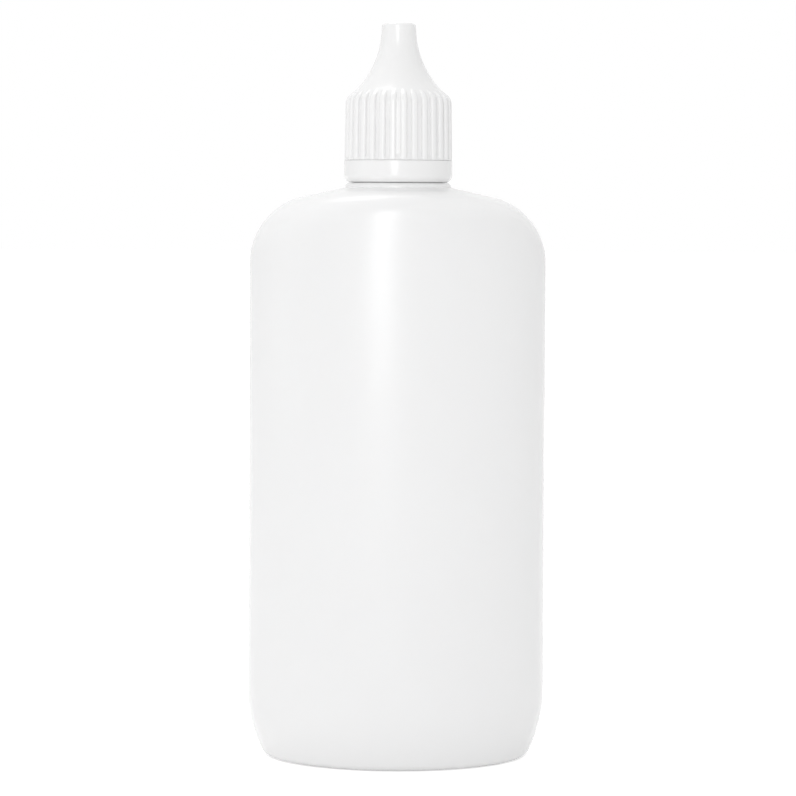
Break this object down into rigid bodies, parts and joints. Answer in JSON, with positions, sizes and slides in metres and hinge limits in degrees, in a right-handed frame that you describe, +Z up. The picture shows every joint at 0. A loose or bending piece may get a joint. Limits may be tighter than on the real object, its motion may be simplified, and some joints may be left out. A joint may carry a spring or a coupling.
{
  "type": "dropper bottle",
  "caption": "Oval translucent squeeze bottle with a ribbed steeple screw cap, a tamper ring and a press-in dropper plug in its neck.",
  "frame": {"origin": "centre of the standing face, at the base of the bottle", "axes": "+Z up the neck to the cap's tip, +X across the wide side of the oval body, -Y out of the broad front face"},
  "size_m": [0.0514, 0.0308, 0.126],
  "materials": {
    "bottle_natural": "natural low-density polyethylene, milky and translucent, soft satin surface",
    "plug_natural": "natural low-density polyethylene, milky, smooth",
    "closure_natural": "natural polypropylene, milky and translucent, glossier than the bottle"
  },
  "bodies": {
    "bottle": {"bottle": "bottle_natural", "dropper_plug": "plug_natural"},
    "ring": {"tamper_ring": "closure_natural"},
    "cap": {"screw_cap": "closure_natural"}
  },
  "joints": [
    {"name": "cap_turn", "type": "hinge", "parent": "bottle", "child": "ring", "pos_m": [0, 0, 0.1], "axis": [0, 0, 1], "continuous": true},
    {"name": "cap_lift", "type": "slide", "parent": "ring", "child": "cap", "axis": [0, 0, 1], "range_m": [0, 0.028]}
  ]
}
